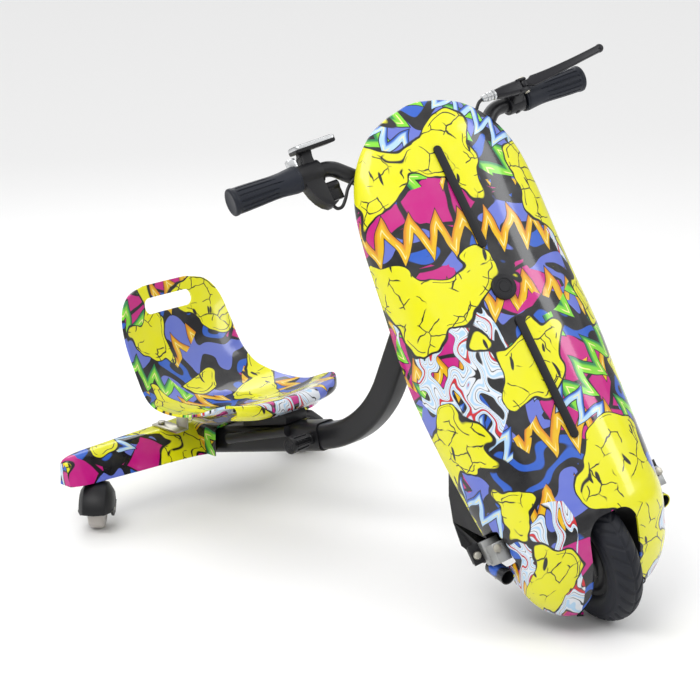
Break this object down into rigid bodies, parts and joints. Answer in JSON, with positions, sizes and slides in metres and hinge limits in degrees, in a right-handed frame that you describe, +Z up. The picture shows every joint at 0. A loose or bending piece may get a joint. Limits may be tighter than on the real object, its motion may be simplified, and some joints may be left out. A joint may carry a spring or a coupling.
{
  "type": "electric drift trike",
  "caption": "Electric drift trike with a steered hub-motor front wheel under a tall fairing, a bent telescoping beam, a low bucket seat and hooded swivel casters",
  "frame": {"origin": "bottom centre of the bounding box, on the ground", "axes": "+X is the rider's left, -Y is forward, +Z is up. The front wheel is steered as it is in the picture."},
  "size_m": [0.5832, 0.9664, 0.7704],
  "materials": {
    "satin_black": "satin",
    "black_plastic": "matte",
    "print_plastic": "gloss print on black",
    "zinc_plated": "zinc plated",
    "cast_black": "black coated",
    "cast_alloy": "cast",
    "tyre_rubber": "matte",
    "grip_rubber": "matte",
    "cable_black": "satin",
    "battery_wrap": "shrink wrap",
    "display_gloss": "gloss with a silver edge",
    "silver_plastic": "silver",
    "wheel_grey": "satin"
  },
  "bodies": {
    "frame": {"main_frame": "satin_black", "headset_lower": "satin_black", "headset_upper": "satin_black"},
    "steering": {"fork": "satin_black", "stem": "cast_black", "handlebar": "satin_black", "grip_right": "grip_rubber", "grip_left": "grip_rubber", "front_fairing": "print_plastic", "strip_upper": "black_plastic", "strip_lower": "black_plastic", "fairing_cap": "black_plastic", "fairing_post": "satin_black", "back_cover": "black_plastic", "battery_pack": "battery_wrap", "motor_controller": "cast_alloy", "cover_screw_right": "zinc_plated", "cover_screw_left": "zinc_plated", "peg_bracket_right": "cast_alloy", "peg_bracket_left": "cast_alloy", "peg_bolt_right": "zinc_plated", "peg_bolt_left": "zinc_plated", "peg_pin_right": "zinc_plated", "peg_pin_left": "zinc_plated", "front_axle": "zinc_plated", "axle_nut_right": "zinc_plated", "axle_nut_left": "zinc_plated", "drum_brake": "cast_black", "throttle_housing": "black_plastic", "display": "display_gloss", "brake_perch": "cast_black", "lever_pin": "zinc_plated", "barrel_adjuster": "cast_alloy", "brake_cable": "cable_black", "throttle_cable": "cable_black"},
    "front_wheel": {"tyre": "tyre_rubber", "hub_motor": "cast_black"},
    "throttle": {"throttle_paddle": "black_plastic"},
    "brake": {"brake_lever": "cast_black"},
    "power": {"power_button": "silver_plastic"},
    "peg_right": {"foot_peg_right": "print_plastic"},
    "peg_left": {"foot_peg_left": "print_plastic"},
    "rear": {"rear_frame": "satin_black", "seat_support": "black_plastic", "seat_bracket": "zinc_plated", "seat": "print_plastic", "rear_shell": "print_plastic", "seat_bolt_right": "zinc_plated", "seat_bolt_left": "zinc_plated"},
    "clamp": {"clamp_knob": "black_plastic"},
    "caster_right": {"caster_hood_right": "black_plastic", "caster_pin_right": "zinc_plated"},
    "caster_left": {"caster_hood_left": "black_plastic", "caster_pin_left": "zinc_plated"},
    "caster_wheel_right": {"caster_wheel_right": "wheel_grey"},
    "caster_wheel_left": {"caster_wheel_left": "wheel_grey"}
  },
  "joints": [
    {"name": "steering_pivot", "type": "hinge", "parent": "frame", "child": "steering", "pos_m": [0.00356, -0.39077, 0.09979], "axis": [0, 0.5606, 0.8281], "range_deg": [-20.8, 69.2]},
    {"name": "front_axle_spin", "type": "hinge", "parent": "steering", "child": "front_wheel", "pos_m": [0.00507, -0.38797, 0.0979], "axis": [0.9121, -0.3394, 0.2298], "continuous": true},
    {"name": "throttle_pivot", "type": "hinge", "parent": "steering", "child": "throttle", "pos_m": [-0.16167, -0.03912, 0.59428], "axis": [0.9121, -0.3394, 0.2298], "range_deg": [-35, 0], "stiffness_Nm_per_rad": 0.1, "springref_deg": 17.19},
    {"name": "brake_pivot", "type": "hinge", "parent": "steering", "child": "brake", "pos_m": [0.13232, -0.15809, 0.71876], "axis": [0, 0.5606, 0.8281], "range_deg": [0, 8], "stiffness_Nm_per_rad": 0.6, "springref_deg": -11.46},
    {"name": "power_button_travel", "type": "slide", "parent": "steering", "child": "power", "axis": [0, -0.5606, -0.8281], "range_m": [0, 0.0012], "stiffness_N_per_m": 300, "springref_m": -0.0005},
    {"name": "peg_right_fold", "type": "hinge", "parent": "steering", "child": "peg_right", "pos_m": [-0.11218, -0.31026, 0.09065], "axis": [-0.2298, 0.0408, 0.9724], "range_deg": [-90, 0]},
    {"name": "peg_left_fold", "type": "hinge", "parent": "steering", "child": "peg_left", "pos_m": [0.13409, -0.40191, 0.1527], "axis": [-0.2298, 0.0408, 0.9724], "range_deg": [0, 90]},
    {"name": "length_adjustment", "type": "slide", "parent": "frame", "child": "rear", "axis": [0, 0.9703, -0.2419], "range_m": [0, 0.1]},
    {"name": "clamp_knob_turn", "type": "hinge", "parent": "rear", "child": "clamp", "pos_m": [-0.04265, 0.12353, 0.15434], "axis": [-1, 0, 0], "range_deg": [0, 360]},
    {"name": "caster_right_swivel", "type": "hinge", "parent": "rear", "child": "caster_right", "pos_m": [-0.21844, 0.4043, 0.09771], "axis": [0, 0, 1], "continuous": true},
    {"name": "caster_left_swivel", "type": "hinge", "parent": "rear", "child": "caster_left", "pos_m": [0.22556, 0.4043, 0.09771], "axis": [0, 0, 1], "continuous": true},
    {"name": "caster_wheel_right_spin", "type": "hinge", "parent": "caster_right", "child": "caster_wheel_right", "pos_m": [-0.23642, 0.38839, 0.03122], "axis": [0.6626, -0.749, 0], "continuous": true},
    {"name": "caster_wheel_left_spin", "type": "hinge", "parent": "caster_left", "child": "caster_wheel_left", "pos_m": [0.24353, 0.38839, 0.03122], "axis": [0.6626, 0.749, 0], "continuous": true}
  ]
}
